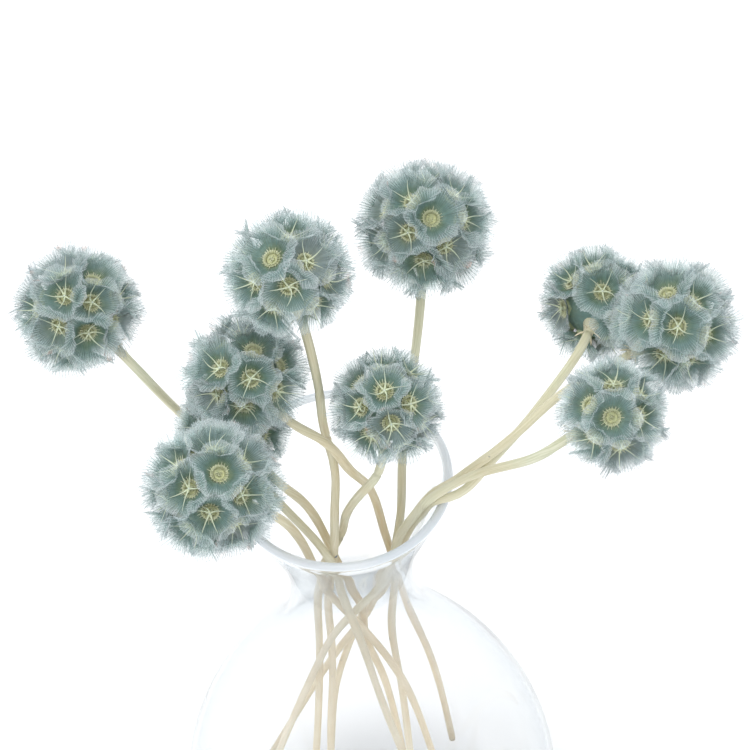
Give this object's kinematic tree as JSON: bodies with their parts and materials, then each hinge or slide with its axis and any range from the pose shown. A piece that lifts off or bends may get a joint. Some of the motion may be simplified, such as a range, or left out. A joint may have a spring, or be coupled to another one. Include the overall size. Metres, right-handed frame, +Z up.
{
  "type": "scabiosa flower in bottle",
  "caption": "Dried starflower scabiosa seed heads on straw stems, standing in a clear glass bottle with a round belly, a narrow waist and a flared lip.",
  "frame": {"origin": "centre of the bottle's flat foot, on the surface that it stands on", "axes": "+Z up along the bottle's axis, +X to the right of the viewer in front, -Y towards that viewer"},
  "size_m": [0.2045, 0.1244, 0.3426],
  "materials": {
    "bottle_glass": "clear, colourless, glossy",
    "seed_head_paper": "dry, papery, matt, dyed dusty blue",
    "stem_straw": "dry straw, faintly ribbed, matt"
  },
  "bodies": {
    "root": {"bottle": "bottle_glass", "seed_head_1": "seed_head_paper", "seed_head_2": "seed_head_paper", "seed_head_3": "seed_head_paper", "seed_head_4": "seed_head_paper", "seed_head_5": "seed_head_paper", "seed_head_6": "seed_head_paper", "seed_head_7": "seed_head_paper", "seed_head_8": "seed_head_paper", "seed_head_9": "seed_head_paper", "seed_head_10": "seed_head_paper", "stem_1": "stem_straw", "stem_2": "stem_straw", "stem_3": "stem_straw", "stem_4": "stem_straw", "stem_5": "stem_straw", "stem_6": "stem_straw", "stem_7": "stem_straw", "stem_8": "stem_straw", "stem_9": "stem_straw", "stem_10": "stem_straw"}
  },
  "joints": []
}
